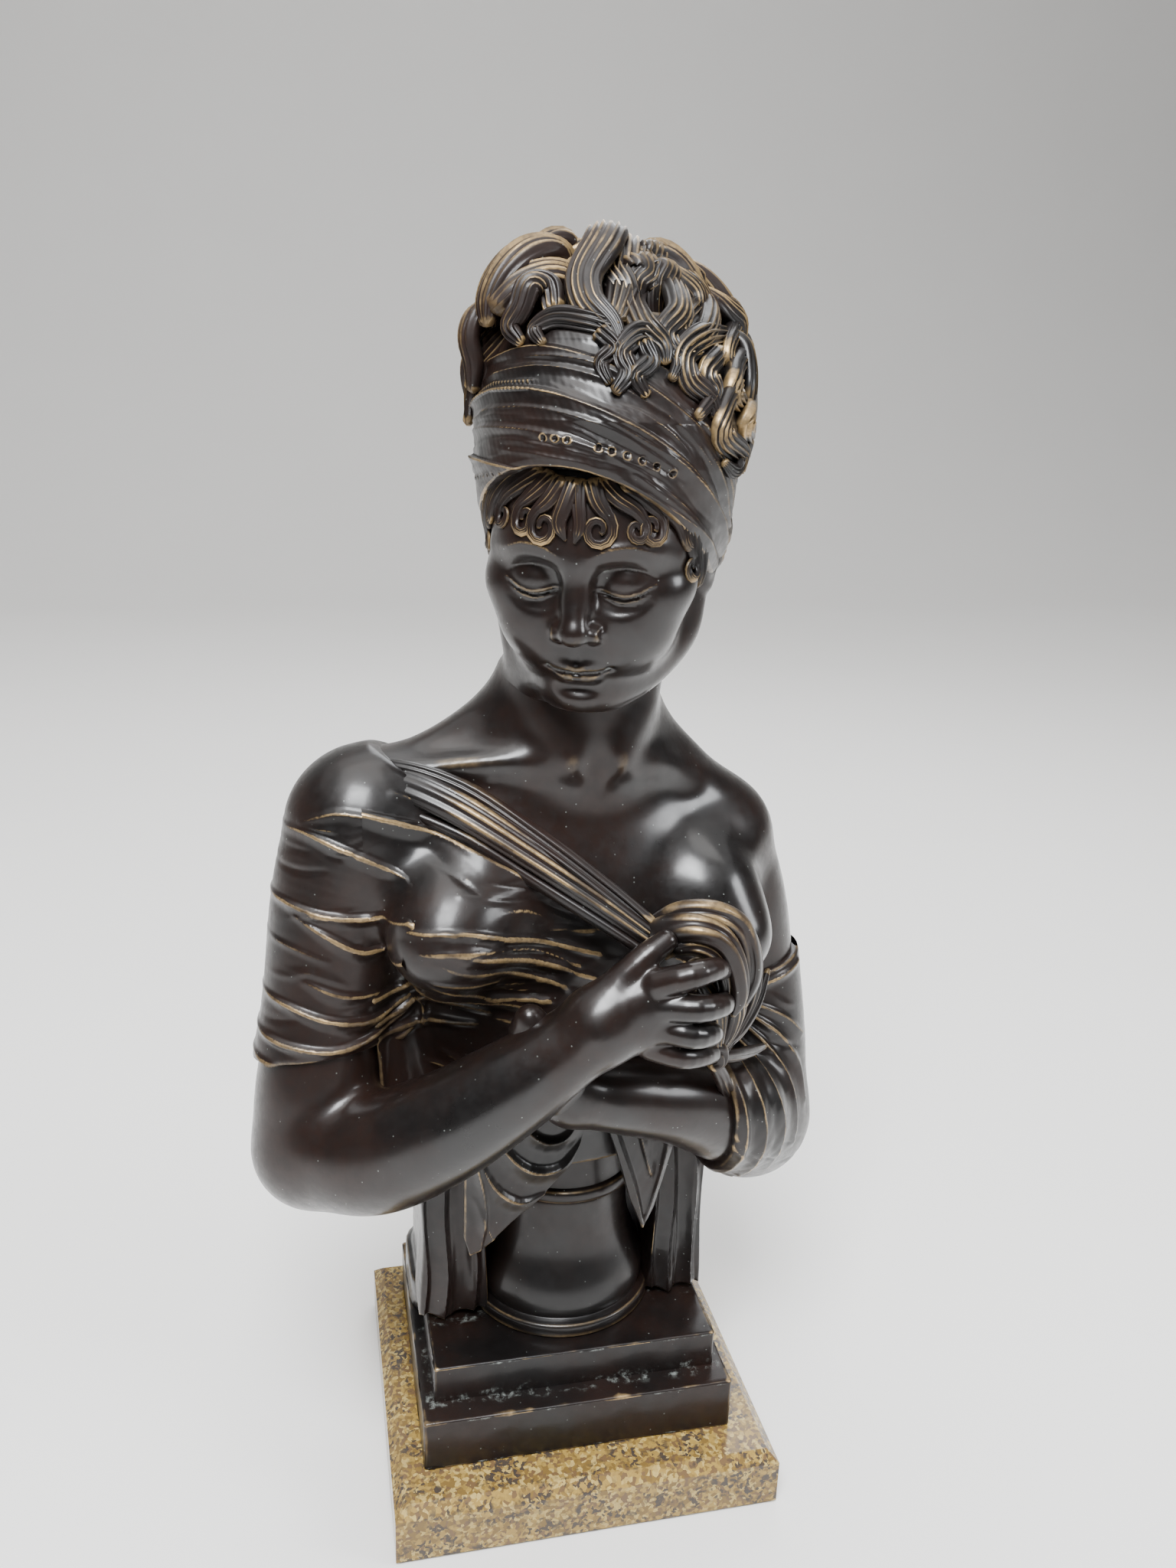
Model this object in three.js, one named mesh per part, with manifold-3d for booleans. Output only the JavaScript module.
// A draped half-length figure in patinated bronze on a polished granite plinth.
// The bronze is a hollow lost-wax casting made in sections, which are welded edge to edge and chased.
// One threaded rod through a bridge bar in the foot holds it to the stone. Millimetres, +Z up, the
// figure faces -Y, and the origin is at the middle of the underside of the felt.
import * as THREE from "three";
import { mergeVertices } from "three/addons/utils/BufferGeometryUtils.js";
import Module from "manifold-3d";

const wasm = await Module();
wasm.setup();

// ---- driving dimensions ----
const GAP = 0.4; // between neighbouring sections
const WALL = 5; // bronze wall
const FELT = { width: 194, depth: 184, thick: 1.5 };
const STONE = { width: 200, depth: 190, thick: 30, bevel: 5.5 };
const FOOT = { left: -84, right: 80, front: -71.5, back: 75, high: 29 };
const STEP = { left: -77.5, right: 73.5, front: -57.5, high: 20.5 };
const PIER = { left: -83, right: 77, front: 2, back: 70, top: 188, cove: 4, vent: 16 };
const SOCLE = { x: -1, y: 3, flange: 55, collar: 46, shaft: 42 };
const ROD = { radius: 5, bore: 6, nut: 8.5, nutHigh: 8, washer: 12, washerHigh: 2, x: -2, y: -24 };
const BAR = { wide: 30, high: 6, z: 46, ledge: 10 };
const TURN = THREE.MathUtils.degToRad(8); // the chest turns to the figure's left
const HEAD = { x: 4, y: -20, z: 497, pitch: 15, yaw: -24 }; // between the ears, at eye height
const SHAWL_LINE = { x: -100, z: 399, slope: -0.58 }; // the shawl's upper edge, seen from the front

const STONE_TOP = FELT.thick + STONE.thick;
const FOOT_TOP = STONE_TOP + FOOT.high;
const STEP_TOP = FOOT_TOP + STEP.high;
const TORSO_BOTTOM = PIER.top + GAP;
const NECK_JOINT = 412;

// ---- materials ----
const patina = new THREE.MeshStandardMaterial({ color: 0x1c1310, roughness: 0.3, metalness: 0.9 });
const granite = new THREE.MeshStandardMaterial({ color: 0xb08d57, roughness: 0.2 });
const steel = new THREE.MeshStandardMaterial({ color: 0x8c8f92, roughness: 0.4, metalness: 1 });
const cloth = new THREE.MeshStandardMaterial({ color: 0x1f3d2b, roughness: 1 });

// ---- solids ----
// A closed geometry as a manifold solid.
function solid(geometry) {
  const loose = geometry.index ? geometry.toNonIndexed() : geometry;
  const bare = new THREE.BufferGeometry().setAttribute("position", loose.getAttribute("position"));
  const merged = mergeVertices(bare, 1e-4);
  const mesh = { numProp: 3, vertProperties: merged.attributes.position.array };
  return new wasm.Manifold(new wasm.Mesh({ ...mesh, triVerts: new Uint32Array(merged.index.array) }));
}

// A manifold solid as a geometry.
function geometryOf(made) {
  const mesh = made.getMesh();
  const geometry = new THREE.BufferGeometry();
  geometry.setAttribute("position", new THREE.BufferAttribute(mesh.vertProperties, 3));
  geometry.setIndex(new THREE.BufferAttribute(mesh.triVerts, 1));
  return geometry;
}

const join = (...solids) => solids.reduce((whole, next) => whole.add(next));
const cut = (whole, ...tools) => tools.reduce((left, tool) => left.subtract(tool), whole);

// The largest body of a solid, without the crumbs that a cut can leave.
const largest = (made) => made.decompose().sort((a, b) => b.volume() - a.volume())[0];

// A closed skin over rings of points that all have the same count, in order and anticlockwise.
function skin(rings) {
  const count = rings[0].length;
  const middle = (ring) => ring.reduce((sum, p) => sum.add(p), new THREE.Vector3()).divideScalar(count);
  const points = [];
  const face = (...corners) => corners.forEach((p) => points.push(p.x, p.y, p.z));
  const [first, last] = [rings[0], rings.at(-1)];
  for (let i = 0; i < count; i++) {
    const j = (i + 1) % count;
    face(middle(first), first[j], first[i]);
    face(middle(last), last[i], last[j]);
    for (let k = 1; k < rings.length; k++) {
      face(rings[k - 1][i], rings[k - 1][j], rings[k][j]);
      face(rings[k - 1][i], rings[k][j], rings[k][i]);
    }
  }
  const geometry = new THREE.BufferGeometry();
  return geometry.setAttribute("position", new THREE.Float32BufferAttribute(points, 3));
}

// A stack of level ovals, each [z, middle x, middle y, half width, half depth].
function stack(levels, grow = 0, sides = 18) {
  const rings = levels.map(([z, x, y, wide, deep]) =>
    Array.from({ length: sides }, (_, i) => {
      const angle = (2 * Math.PI * i) / sides;
      return new THREE.Vector3(
        x + (wide + grow) * Math.cos(angle),
        y + (deep + grow) * Math.sin(angle),
        z,
      );
    }),
  );
  return solid(skin(rings));
}

// A round limb through points [x, y, z, radius], with domed ends.
function limb(points, grow = 0, sides = 10, steps = 2) {
  const path = new THREE.CatmullRomCurve3(points.map(([x, y, z]) => new THREE.Vector3(x, y, z)));
  const count = (points.length - 1) * steps;
  const radiusAt = (t) => {
    const place = t * (points.length - 1);
    const low = Math.min(Math.floor(place), points.length - 2);
    return THREE.MathUtils.lerp(points[low][3], points[low + 1][3], place - low) + grow;
  };
  const { normals, binormals } = path.computeFrenetFrames(count, false);
  const ring = (i, along, share) => {
    const t = i / count;
    const centre = path.getPoint(t).addScaledVector(path.getTangent(t), along * radiusAt(t));
    return Array.from({ length: sides }, (_, s) => {
      const angle = (2 * Math.PI * s) / sides;
      const reach = radiusAt(t) * share;
      return centre
        .clone()
        .addScaledVector(normals[i], reach * Math.cos(angle))
        .addScaledVector(binormals[i], reach * Math.sin(angle));
    });
  };
  const dome = sides < 8 ? [0.6] : [0.35, 0.72];
  const rings = [
    ...dome.map((share) => ring(0, -Math.sqrt(1 - share * share), share)),
    ...Array.from({ length: count + 1 }, (_, i) => ring(i, 0, 1)),
    ...dome.toReversed().map((share) => ring(count, Math.sqrt(1 - share * share), share)),
  ];
  return solid(skin(rings));
}

function oval([x, y, z], [wide, deep, high], grow = 0, fine = 14) {
  const ball = new THREE.SphereGeometry(1, fine, Math.round(fine * 0.6));
  ball.scale(wide + grow, deep + grow, high + grow).translate(x, y, z);
  return solid(ball);
}

function block(low, high) {
  const size = high.map((value, i) => value - low[i]);
  const box = new THREE.BoxGeometry(...size);
  return solid(box.translate(...low.map((value, i) => value + size[i] / 2)));
}

function rod(radius, low, high, x = ROD.x, y = ROD.y, sides = 24) {
  const bar = new THREE.CylinderGeometry(radius, radius, high - low, sides);
  return solid(bar.rotateX(Math.PI / 2).translate(x, y, (low + high) / 2));
}

// A flat outline drawn in the XZ plane, thick along Y, from its front face.
function slab(outline, front, thick) {
  const shape = new THREE.Shape(outline.map(([x, z]) => new THREE.Vector2(x, z)));
  const plate = new THREE.ExtrudeGeometry(shape, { depth: thick, bevelEnabled: false });
  return solid(plate.rotateX(Math.PI / 2).translate(0, front + thick, 0));
}

// Turns a solid about the upright axis through the chest.
const CHEST = { x: -4, y: 5 };
function turned(made) {
  const degrees = THREE.MathUtils.radToDeg(TURN);
  return made.translate([-CHEST.x, -CHEST.y, 0]).rotate([0, 0, degrees]).translate([CHEST.x, CHEST.y, 0]);
}

// Tilts and turns a solid that is drawn about the head's own middle, then sets it in place.
function onHead(made) {
  return made.rotate([HEAD.pitch, 0, 0]).rotate([0, 0, HEAD.yaw]).translate([HEAD.x, HEAD.y, HEAD.z]);
}

// ---- plinth and fixing ----
function feltPad() {
  return block([-FELT.width / 2, -FELT.depth / 2, 0], [FELT.width / 2, FELT.depth / 2, FELT.thick]);
}

const COUNTERBORE = { radius: 16, deep: 14 };

function granitePlinth() {
  const outline = (inset) => {
    const [x, y] = [STONE.width / 2 - inset, STONE.depth / 2 - inset];
    return [[-x, -y], [x, -y], [x, y], [-x, y]];
  };
  const level = (z, inset) => outline(inset).map(([x, y]) => new THREE.Vector3(x, y, z));
  const stone = solid(skin([
    level(FELT.thick, 0),
    level(STONE_TOP - STONE.bevel, 0),
    level(STONE_TOP, STONE.bevel),
  ]));
  const pocket = rod(COUNTERBORE.radius, FELT.thick - 1, FELT.thick + COUNTERBORE.deep);
  return cut(stone, pocket, rod(ROD.bore, 0, STONE_TOP + 1));
}

const POCKET_TOP = FELT.thick + COUNTERBORE.deep;
const LOWER_WASHER = POCKET_TOP - ROD.washerHigh;
const LOWER_NUT = LOWER_WASHER - ROD.nutHigh;
const BAR_TOP = BAR.z + BAR.high;
const UPPER_NUT = BAR_TOP + ROD.washerHigh;

const threadedRod = () => rod(ROD.radius, LOWER_NUT - 1, UPPER_NUT + ROD.nutHigh + 4);
const washer = (low) => cut(
  rod(ROD.washer, low + 0.05, low + ROD.washerHigh - 0.05),
  rod(ROD.radius + GAP, low - 1, low + 5),
);
const hexNut = (low) => cut(
  rod(ROD.nut, low, low + ROD.nutHigh, ROD.x, ROD.y, 6),
  rod(ROD.radius + GAP, low - 1, low + ROD.nutHigh + 1),
);

function bridgeBar() {
  const [left, right] = [FOOT.left + WALL + GAP, FOOT.right - WALL - GAP];
  const bar = block([left, ROD.y - BAR.wide / 2, BAR.z], [right, ROD.y + BAR.wide / 2, BAR_TOP]);
  return cut(bar, rod(ROD.bore, BAR.z - 1, BAR_TOP + 1));
}

// ---- foot, pier and socle ----
function footCasting() {
  const low = block([FOOT.left, FOOT.front, STONE_TOP], [FOOT.right, FOOT.back, FOOT_TOP]);
  const high = block([STEP.left, STEP.front, FOOT_TOP - 1], [STEP.right, PIER.front - GAP, STEP_TOP]);
  const lowCore = block(
    [FOOT.left + WALL, FOOT.front + WALL, STONE_TOP - 1],
    [FOOT.right - WALL, FOOT.back - WALL, FOOT_TOP - WALL],
  );
  const highCore = block(
    [STEP.left + WALL, STEP.front + WALL, FOOT_TOP - WALL - 1],
    [STEP.right - WALL, PIER.front - GAP - WALL, STEP_TOP - WALL],
  );
  const pierWay = block(
    [PIER.left + 2 * WALL, PIER.front + 2 * WALL, FOOT_TOP - WALL - 1],
    [PIER.right - 2 * WALL, PIER.back - 2 * WALL, FOOT_TOP + 1],
  );
  const ledge = (from, to) => block(
    [from, ROD.y - BAR.wide / 2, BAR.z - GAP - BAR.ledge],
    [to, ROD.y + BAR.wide / 2, BAR.z - GAP],
  );
  const shell = cut(join(low, high), lowCore, highCore, pierWay);
  const leftLedge = ledge(FOOT.left + 1, FOOT.left + WALL + BAR.ledge);
  return join(shell, leftLedge, ledge(FOOT.right - WALL - BAR.ledge, FOOT.right - 1));
}

// A pier with square front corners and round back ones, and a cove above the foot.
function pierStack(inset, low, high) {
  const corner = 22;
  const level = (z, cove) => {
    const [left, right] = [PIER.left + inset + cove, PIER.right - inset - cove];
    const [front, back] = [PIER.front + inset, PIER.back - inset - cove];
    const arc = (x, y, from) => Array.from({ length: 5 }, (_, i) => {
      const angle = from + (i * Math.PI) / 8;
      return new THREE.Vector3(x + corner * Math.cos(angle), y + corner * Math.sin(angle), z);
    });
    return [
      new THREE.Vector3(left, front, z),
      new THREE.Vector3(right, front, z),
      ...arc(right - corner, back - corner, 0),
      ...arc(left + corner, back - corner, Math.PI / 2),
    ];
  };
  const rings = [[low, 0], [low + 8, 0.6], [low + 22, 1], [low + 50, 0.6], [high, 0]];
  return solid(skin(rings.map(([z, share]) => level(z, share * PIER.cove))));
}

// The pier is capped. One core hole runs through its cap and the floor of the torso.
const coreHole = () => rod(PIER.vent, PIER.top - 20, TORSO_BOTTOM + 20, -3, 36, 12);
const backPier = () => cut(
  pierStack(0, FOOT_TOP + GAP, PIER.top),
  pierStack(WALL, FOOT_TOP - 1, PIER.top - WALL),
  coreHole(),
);

// Half a turned baluster: a flange, a bell, a shaft and a collar, with its back against the pier.
function socle() {
  const { flange, collar, shaft } = SOCLE;
  const foot = STEP_TOP + GAP;
  const outline = [
    [0, 0], [flange, 0], [flange, 8], [flange - 3, 10], [flange - 5, 20], [flange - 9, 34],
    [shaft, 52], [shaft, 74], [collar, 76], [collar, 83], [shaft + 1, 85], [shaft, 100], [0, 100],
  ];
  const points = outline.map(([r, z]) => new THREE.Vector2(r, z));
  const lathe = new THREE.LatheGeometry(points, 36).rotateX(Math.PI / 2);
  const whole = solid(lathe.translate(SOCLE.x, SOCLE.y, foot));
  const core = rod(shaft - WALL, foot - 1, foot + 100 - WALL, SOCLE.x, SOCLE.y);
  const front = block([-120, -120, foot - 5], [120, PIER.front - GAP, PIER.top]);
  return cut(whole, core).intersect(front);
}

// Cloth that falls in upright pleats beside the socle.
function drapeFall(left, right, hem) {
  const pleats = 4;
  const wide = (right - left) / pleats;
  const front = -24;
  const outline = [new THREE.Vector2(left, PIER.front - GAP)];
  for (let i = 0; i < pleats; i++) {
    outline.push(new THREE.Vector2(left + (i + 0.12) * wide, front + 5));
    outline.push(new THREE.Vector2(left + (i + 0.5) * wide, front - 3));
    outline.push(new THREE.Vector2(left + (i + 0.88) * wide, front + 5));
  }
  outline.push(new THREE.Vector2(right, PIER.front - GAP));
  const high = PIER.top - GAP - hem;
  const fall = new THREE.ExtrudeGeometry(new THREE.Shape(outline), { depth: high, bevelEnabled: false });
  return solid(fall.translate(0, 0, hem));
}

// The cloth's hanging corners, in front of the socle.
function swag() {
  const outline = [
    [-62, 222], [-60, 137], [-46, 150], [-22, 170], [2, 186], [20, 180], [34, 138], [42, 150],
    [50, 222],
  ];
  return slab(outline, -62, 14);
}

// ---- body ----
const TORSO = [
  [TORSO_BOTTOM, -4, 9, 78, 56], [215, -4, 7, 79, 55], [250, -4, 5, 81, 55], [285, -4, 3, 85, 57],
  [315, -5, 4, 93, 56], [338, -9, 6, 108, 51], [358, -10, 8, 111, 43], [375, -9, 8, 97, 36],
  [390, -6, 6, 70, 33], [402, -3, 3, 49, 34], [NECK_JOINT - GAP, -1, 0, 40, 37],
];
const BREASTS = [[-64, -47, 318], [66, -31, 311]];
const RIGHT_UPPER = [[-104, -5, 350, 31], [-119, -12, 300, 31], [-128, -22, 245, 30], [-130, -30, 203, 31]];
const RIGHT_FORE = [
  [-128, -32, 202, 30], [-104, -58, 212, 28.5], [-75, -74, 232, 26], [-46, -83, 255, 22],
  [-22, -89, 275, 18.5], [-8, -92, 286, 17],
];
const LEFT_UPPER = [[84, 20, 332, 30], [94, 15, 290, 29], [101, 6, 230, 29], [100, -4, 182, 30]];
const LEFT_FORE = [
  [98, -6, 181, 29], [78, -36, 204, 26], [48, -54, 224, 21], [16, -64, 234, 18], [-10, -68, 241, 16],
];

const torsoStack = (grow) => join(
  turned(stack(TORSO.map(([z, ...rest], i) => [i ? z : z - (grow < 0 ? 1 : 0), ...rest]), grow)),
  ...BREASTS.map((place) => oval(place, [31, 30, 31], grow)),
);
const rightArmWhole = (grow) => join(limb(RIGHT_UPPER, grow), limb(RIGHT_FORE, grow));
const leftArmWhole = (grow) => join(limb(LEFT_UPPER, grow), limb(LEFT_FORE, grow));

// The arm's core opens at the shoulder.
function hollowArm(whole, upper, fore) {
  const [x, y, z, radius] = upper[0];
  const mouth = oval([x, y, z + radius], [8, 8, 20], 0, 8);
  return cut(whole, join(limb(upper, -WALL, 8, 1), limb(fore, -WALL, 8, 1), mouth));
}

// A right hand that closes on a fold of cloth: the back of the hand, four fingers and a thumb.
const RIGHT_FINGERS = [
  [[28, -100, 312, 6.5], [44, -102, 316, 5.5], [58, -97, 314, 5]],
  [[30, -103, 303, 6.5], [46, -105, 303, 5.5], [59, -99, 300, 5]],
  [[30, -103, 291, 6.5], [45, -104, 289, 5.5], [57, -98, 286, 5]],
  [[26, -100, 279, 6], [40, -101, 275, 5], [52, -96, 272, 4.5]],
];
const RIGHT_THUMB = [[4, -92, 308, 7], [20, -94, 321, 6.5], [36, -92, 327, 5.5]];

const rightHandWhole = (grow) => join(
  oval([14, -94, 294], [27, 15, 23], grow),
  ...[...RIGHT_FINGERS, RIGHT_THUMB].map((finger) => limb(finger, grow, 6, 2)),
);

const LEFT_HAND = [[-16, -66, 246, 15], [-28, -72, 268, 14], [-38, -78, 288, 11], [-40, -80, 304, 6.5]];
const leftHandWhole = (grow) => limb(LEFT_HAND, grow, 10, 2);

// ---- shawl ----
// What lies under the shawl's upper edge, moved out by grow.
function belowEdge(grow = 0) {
  const { x, z, slope } = SHAWL_LINE;
  const line = (at) => z + slope * (at - x) + grow;
  return slab([[-200, TORSO_BOTTOM - 5], [-200, line(-200)], [200, line(200)], [200, TORSO_BOTTOM - 5]], -200, 400);
}

const SLEEVE = 4; // cloth on the arm
const SLEEVE_HEM = 238;
const aboveHem = () => block([-200, -200, SLEEVE_HEM], [0, 200, 400]);
const ROLL = [
  [-110, -12, 392, 6], [-84, -36, 386, 7], [-48, -54, 368, 8], [-10, -66, 346, 8], [22, -82, 328, 7],
  [40, -90, 322, 6],
];
const TAIL = [[48, -88, 330, 8], [66, -84, 332, 10], [80, -74, 316, 10], [78, -72, 292, 8], [74, -72, 278, 4]];
const rollWhole = (grow) => limb(ROLL, grow, 10, 2);
const tailWhole = (grow) => limb(TAIL, grow, 10, 2);
const rightSleeveWhole = (grow) => limb(RIGHT_UPPER, SLEEVE + grow).intersect(aboveHem());
const aboutElbow = () => block([60, -200, 0], [200, 200, 260]);
const leftSleeveWhole = (grow) => leftArmWhole(SLEEVE + grow).intersect(aboutElbow());

// ---- head ----
const NECK = [[-2, 0, NECK_JOINT - 12, 37], [0, -2, 430, 35], [6, -8, 462, 36]];

function headWhole(grow) {
  const skull = oval([0, 0, 12], [48, 61, 58], grow, 20);
  const face = oval([0, -22, -26], [42, 41, 46], grow, 18);
  const nose = limb([[0, -57, 2, 5], [0, -64, -12, 6], [0, -67, -22, 7]], grow, 8, 1);
  const brow = oval([0, -47, 8], [34, 15, 8], grow, 12);
  const chin = oval([0, -45, -61], [15, 13, 11], grow, 10);
  const lips = oval([0, -59, -42], [13, 6, 5], grow, 10);
  const ear = (side) => oval([side * 49, 2, -12], [4, 10, 17], grow, 10);
  return onHead(join(skull, face, nose, brow, chin, lips, ear(-1), ear(1)));
}

function head() {
  const eye = (side) => oval([side * 19, -59, -2], [11, 6, 6], 0, 10);
  const ball = (side) => oval([side * 19, -52, -2], [9.5, 9.5, 9.5], 0, 12);
  const neckTop = block([-90, -90, NECK_JOINT], [90, 90, 700]);
  const shape = join(cut(headWhole(0), onHead(join(eye(-1), eye(1)))), onHead(join(ball(-1), ball(1))));
  const core = join(onHead(oval([0, 0, 12], [42, 53, 52], 0, 10)), limb(NECK, -WALL - 1, 8, 1));
  return cut(join(shape, limb(NECK, 0, 16, 2)), core).intersect(neckTop);
}

// The cloth wound round the head: low at the nape, high at the brow.
function scarfWhole(grow) {
  const level = (z, wide, deep, tilt, back) =>
    Array.from({ length: 26 }, (_, i) => {
      const angle = (2 * Math.PI * i) / 26;
      const y = back + (deep + grow) * Math.sin(angle);
      return new THREE.Vector3((wide + grow) * Math.cos(angle), y, z - tilt * y);
    });
  return onHead(solid(skin([
    level(18 - grow, 53, 66, 0.45, 4),
    level(24, 57, 70, 0.45, 4),
    level(46, 57, 69, 0.35, 6),
    level(66, 52, 61, 0.25, 8),
    level(84 + grow, 44, 50, 0.15, 8),
  ])));
}

// Short locks that show under the scarf, on a band of hair that hugs the brow.
function fringeWhole(grow) {
  const band = oval([0, 0, 12], [51, 64, 61], grow, 20).intersect(
    slab([[-80, 28], [80, 28], [80, 12], [34, 13], [0, 22], [-34, 13], [-80, 12]], -80, 84),
  );
  const lock = (side, share) => {
    const angle = share * 1.25;
    const at = (out, z) => [side * (51 + out) * Math.sin(angle), -(64 + out) * Math.cos(angle) * 0.97, z];
    const fall = 13 + 24 * share * share;
    return limb([
      [...at(0, 26), 5], [...at(1, 26 - fall * 0.5), 5], [...at(-2, 26 - fall), 3],
    ], grow, 6, 1);
  };
  const locks = [0.12, 0.42, 0.72, 1].flatMap((share) => [lock(-1, share), lock(1, share)]);
  return onHead(join(band, ...locks));
}

// ---- hair piled over the scarf ----
const CROWN = { x: 10, y: 2, z: 592, wide: 54, deep: 52, high: 27 };

function hairCrown() {
  const { x, y, z, wide, deep, high } = CROWN;
  const locks = [];
  const row = (count, level, reach, drop, radius) => {
    for (let i = 0; i < count; i++) {
      const angle = (2 * Math.PI * (i + level * 0.5)) / count;
      const at = (share, up) => [
        x + wide * share * Math.cos(angle + up * 0.01),
        y + deep * share * Math.sin(angle + up * 0.01),
        z + up,
      ];
      const sway = i % 2 ? 4 : -4;
      locks.push(limb([
        [...at(reach - 0.45, level + 6), radius],
        [...at(reach, level + 4), radius + 1.5],
        [...at(reach + 0.08, level - drop / 2 + sway), radius + 0.5],
        [...at(reach - 0.02, level - drop), radius - 2],
      ], 0, 6, 1));
    }
  };
  row(12, -2, 0.98, 26, 7.5);
  row(8, 17, 0.72, 20, 8);
  const topLoop = limb([[6, -6, 606, 9], [0, -12, 622, 9], [2, -24, 622, 8.5], [4, -32, 604, 8]], 0, 8, 2);
  const sideFall = limb([[58, 14, 590, 9], [72, 16, 570, 8.5], [71, 14, 552, 7.5], [76, 18, 534, 6]], 0, 8, 2);
  return join(oval([x, y, z], [wide, deep, high], 0, 16), ...locks, topLoop, sideFall);
}

// ---- sections, each clear of those before it ----
const sections = {};
const around = {
  rightHand: rightHandWhole(GAP),
  tail: tailWhole(GAP),
  roll: rollWhole(GAP),
  rightArm: rightArmWhole(GAP),
  leftHand: leftHandWhole(GAP),
  leftArm: leftArmWhole(GAP),
  rightSleeve: rightSleeveWhole(GAP),
  leftSleeve: leftSleeveWhole(GAP),
};

sections.right_hand = rightHandWhole(0);
sections.shawl_tail = cut(tailWhole(0), around.rightHand);
sections.shawl_roll = cut(rollWhole(0), around.rightHand, around.tail);
sections.right_arm = cut(
  hollowArm(rightArmWhole(0), RIGHT_UPPER, RIGHT_FORE), around.rightHand, around.roll, around.tail,
);
sections.left_hand = cut(leftHandWhole(0), around.rightArm, around.rightHand);
sections.left_arm = cut(
  hollowArm(leftArmWhole(0), LEFT_UPPER, LEFT_FORE), around.leftHand, around.rightArm, around.rightHand, around.tail,
);
sections.shawl_sleeve_right = cut(rightSleeveWhole(0), around.rightArm, around.roll);
sections.shawl_sleeve_left = cut(
  leftSleeveWhole(0), around.leftArm, around.rightArm, around.rightHand, around.tail,
);

const limbs = Object.values(around);
const CLOTH = 3.5; // cloth on the body
const shawlWhole = (grow) => torsoStack(CLOTH + grow).intersect(belowEdge(grow));
sections.shawl_body = cut(shawlWhole(0), torsoStack(GAP), ...limbs)
  .intersect(block([-200, -200, TORSO_BOTTOM], [200, 200, 420]));

const armWalls = join(rightArmWhole(GAP + WALL), leftArmWhole(GAP + WALL), rightSleeveWhole(GAP + WALL));
const torsoCore = cut(torsoStack(-WALL), armWalls, leftSleeveWhole(GAP + WALL))
  .intersect(block([-200, -200, TORSO_BOTTOM + WALL], [200, 200, 396]));
sections.torso = cut(torsoStack(0), ...limbs, largest(torsoCore), coreHole());

const neckClear = join(headWhole(GAP), limb(NECK, GAP, 16, 2).intersect(block([-90, -90, NECK_JOINT], [90, 90, 700])));
sections.torso = cut(sections.torso, neckClear);
sections.head = head();
const scarfCore = oval([10, -10, 558], [43, 50, 30], 0, 10);
const hairCore = oval([CROWN.x, CROWN.y, 580], [42, 40, 20], 0, 10);
sections.headscarf = cut(scarfWhole(0), neckClear, scarfCore);
sections.hair_fringe = cut(fringeWhole(0), scarfWhole(GAP), neckClear);
sections.hair_crown = cut(hairCrown(), scarfWhole(GAP), neckClear, hairCore);

const aboveJoint = block([-200, -200, TORSO_BOTTOM - GAP], [200, 200, 500]);
const figure = join(torsoStack(CLOTH + GAP).intersect(aboveJoint), ...limbs);
sections.swag_front = cut(swag(), figure);
sections.foot_casting = footCasting();
sections.back_pier = cut(backPier(), figure);
sections.socle = cut(socle(), figure);
const socleClear = rod(SOCLE.flange + GAP, STEP_TOP, STEP_TOP + 40, SOCLE.x, SOCLE.y, 36);
const hem = STEP_TOP + 3;
const besideSocle = [socleClear, figure, rod(SOCLE.collar + GAP, 0, 200, SOCLE.x, SOCLE.y, 36), swag()];
sections.drapery_fall_right = cut(drapeFall(-80, -46, hem), ...besideSocle);
sections.drapery_fall_left = cut(drapeFall(46, 74, hem), ...besideSocle);

// ---- the object ----
const bust = new THREE.Group();

// Slivers finer than the chasing are folded away, to well under half of a gap.
function place(name, made, material) {
  const clean = largest(largest(made).asOriginal().simplify(0.15));
  const mesh = new THREE.Mesh(geometryOf(clean), material);
  mesh.name = name;
  bust.add(mesh);
}

place("felt_pad", feltPad(), cloth);
place("granite_plinth", granitePlinth(), granite);
place("fixing_rod", threadedRod(), steel);
place("bridge_bar", bridgeBar(), steel);
place("bridge_washer", washer(BAR_TOP), steel);
place("bridge_nut", hexNut(UPPER_NUT), steel);
place("plinth_washer", washer(LOWER_WASHER), steel);
place("plinth_nut", hexNut(LOWER_NUT), steel);
for (const [name, made] of Object.entries(sections)) place(name, made, patina);

export default bust;
